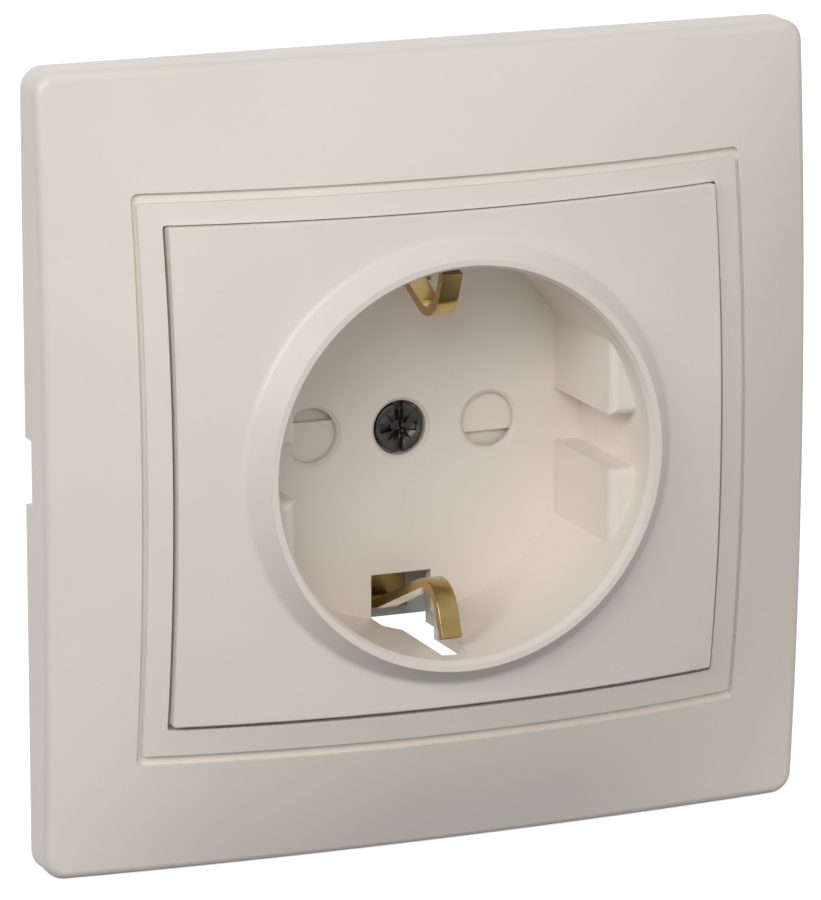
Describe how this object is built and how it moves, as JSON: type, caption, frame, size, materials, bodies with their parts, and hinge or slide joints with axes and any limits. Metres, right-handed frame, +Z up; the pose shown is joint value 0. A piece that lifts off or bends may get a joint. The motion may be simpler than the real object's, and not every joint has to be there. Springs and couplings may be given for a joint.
{
  "type": "flush-mounted wall socket outlet",
  "caption": "Flush wall socket outlet: crowned square frame and centre cover, round plug recess with earth clips and guide ribs, shuttered pin holes, screw-clamp insert with claws behind.",
  "frame": {"origin": "on the recess axis, in the wall's plane, midway between the box screws", "axes": "+Z up, +X to the user's right, -Y out of the wall towards the user"},
  "size_m": [0.0807, 0.0446, 0.0799],
  "materials": {
    "frame_plastic": "satin",
    "cover_plastic": "satin",
    "shutter_plastic": "matt",
    "insert_plastic": "matt",
    "zinc_steel": "zinc plated",
    "dark_steel": "black zinc",
    "spring_steel": "bright",
    "brass": "worn"
  },
  "bodies": {
    "insert": {"support_plate": "zinc_steel", "base_body": "insert_plastic", "base_rivets": "zinc_steel", "rear_cover": "insert_plastic", "rear_cover_screws": "zinc_steel", "threaded_bush": "brass", "live_contact_left": "brass", "live_contact_right": "brass", "contact_spring_left": "spring_steel", "contact_spring_right": "spring_steel", "earth_strap": "brass", "outer_frame": "frame_plastic", "central_cover": "cover_plastic", "shutter_retainer": "insert_plastic", "retainer_screws": "zinc_steel", "shutter_spring": "spring_steel"},
    "shutter": {"shutter": "shutter_plastic"},
    "upper_clip": {"upper_earth_clip": "brass"},
    "lower_clip": {"lower_earth_clip": "brass"},
    "screw_ring": {"screw_retaining_ring": "insert_plastic"},
    "centre_screw": {"centre_screw": "dark_steel"},
    "clamp_left": {"clamp_plate_left": "zinc_steel"},
    "terminal_screw_left": {"terminal_screw_left": "zinc_steel"},
    "clamp_earth": {"clamp_plate_earth": "zinc_steel"},
    "terminal_screw_earth": {"terminal_screw_earth": "zinc_steel"},
    "clamp_right": {"clamp_plate_right": "zinc_steel"},
    "terminal_screw_right": {"terminal_screw_right": "zinc_steel"},
    "claw_left": {"claw_left": "zinc_steel"},
    "claw_nut_left": {"claw_nut_left": "zinc_steel"},
    "claw_screw_left": {"claw_screw_left": "zinc_steel"},
    "claw_right": {"claw_right": "zinc_steel"},
    "claw_nut_right": {"claw_nut_right": "zinc_steel"},
    "claw_screw_right": {"claw_screw_right": "zinc_steel"}
  },
  "joints": [
    {"name": "shutter_turn", "type": "hinge", "parent": "insert", "child": "shutter", "pos_m": [0, 0.005, 0], "axis": [0, -1, 0], "range_deg": [0, 40], "stiffness_Nm_per_rad": 0.004, "springref_deg": -28.65, "deforming": ["shutter_spring"]},
    {"name": "upper_clip_flex", "type": "hinge", "parent": "insert", "child": "upper_clip", "pos_m": [0, 0.007, 0.0195], "axis": [-1, 0, 0], "range_deg": [0, 7.5], "stiffness_Nm_per_rad": 0.5, "springref_deg": -5.73},
    {"name": "lower_clip_flex", "type": "hinge", "parent": "insert", "child": "lower_clip", "pos_m": [0, 0.007, -0.0195], "axis": [1, 0, 0], "range_deg": [0, 7.5], "stiffness_Nm_per_rad": 0.5, "springref_deg": -5.73},
    {"name": "centre_screw_travel", "type": "slide", "parent": "insert", "child": "screw_ring", "axis": [0, -1, 0], "range_m": [0, 0.004]},
    {"name": "centre_screw_turn", "type": "hinge", "parent": "screw_ring", "child": "centre_screw", "pos_m": [0, 0.01, 0], "axis": [0, -1, 0], "range_deg": [0, 2880]},
    {"name": "clamp_left_lift", "type": "slide", "parent": "insert", "child": "clamp_left", "axis": [0, 0, 1], "range_m": [0, 0.0017]},
    {"name": "terminal_screw_left_turn", "type": "hinge", "parent": "clamp_left", "child": "terminal_screw_left", "pos_m": [-0.0095, 0.0233, -0.018], "axis": [0, 0, 1], "range_deg": [0, 875]},
    {"name": "clamp_earth_lift", "type": "slide", "parent": "insert", "child": "clamp_earth", "axis": [0, 0, 1], "range_m": [0, 0.0017]},
    {"name": "terminal_screw_earth_turn", "type": "hinge", "parent": "clamp_earth", "child": "terminal_screw_earth", "pos_m": [0, 0.0233, -0.018], "axis": [0, 0, 1], "range_deg": [0, 875]},
    {"name": "clamp_right_lift", "type": "slide", "parent": "insert", "child": "clamp_right", "axis": [0, 0, 1], "range_m": [0, 0.0017]},
    {"name": "terminal_screw_right_turn", "type": "hinge", "parent": "clamp_right", "child": "terminal_screw_right", "pos_m": [0.0095, 0.0233, -0.018], "axis": [0, 0, 1], "range_deg": [0, 875]},
    {"name": "claw_nut_left_travel", "type": "slide", "parent": "insert", "child": "claw_nut_left", "axis": [0, -1, 0], "range_m": [0, 0.006]},
    {"name": "claw_left_swing", "type": "hinge", "parent": "insert", "child": "claw_left", "pos_m": [-0.0276, 0.002, 0.0076], "axis": [0, 0, 1], "range_deg": [0, 13]},
    {"name": "claw_screw_left_turn", "type": "hinge", "parent": "insert", "child": "claw_screw_left", "pos_m": [-0.0252, 0.01, 0.0076], "axis": [0, 1, 0], "range_deg": [0, 3086]},
    {"name": "claw_nut_right_travel", "type": "slide", "parent": "insert", "child": "claw_nut_right", "axis": [0, -1, 0], "range_m": [0, 0.006]},
    {"name": "claw_right_swing", "type": "hinge", "parent": "insert", "child": "claw_right", "pos_m": [0.0276, 0.002, -0.0076], "axis": [0, 0, -1], "range_deg": [0, 13]},
    {"name": "claw_screw_right_turn", "type": "hinge", "parent": "insert", "child": "claw_screw_right", "pos_m": [0.0252, 0.01, -0.0076], "axis": [0, 1, 0], "range_deg": [0, 3086]}
  ],
  "couplings": [
    {"joint": "centre_screw_turn", "follows": "centre_screw_travel", "rad_per_m": 12566},
    {"joint": "terminal_screw_left_turn", "follows": "clamp_left_lift", "rad_per_m": 8975.9},
    {"joint": "terminal_screw_earth_turn", "follows": "clamp_earth_lift", "rad_per_m": 8975.9},
    {"joint": "terminal_screw_right_turn", "follows": "clamp_right_lift", "rad_per_m": 8975.9},
    {"joint": "claw_left_swing", "follows": "claw_nut_left_travel", "rad_per_m": 37.8},
    {"joint": "claw_screw_left_turn", "follows": "claw_nut_left_travel", "rad_per_m": 8975.9},
    {"joint": "claw_right_swing", "follows": "claw_nut_right_travel", "rad_per_m": 37.8},
    {"joint": "claw_screw_right_turn", "follows": "claw_nut_right_travel", "rad_per_m": 8975.9}
  ]
}
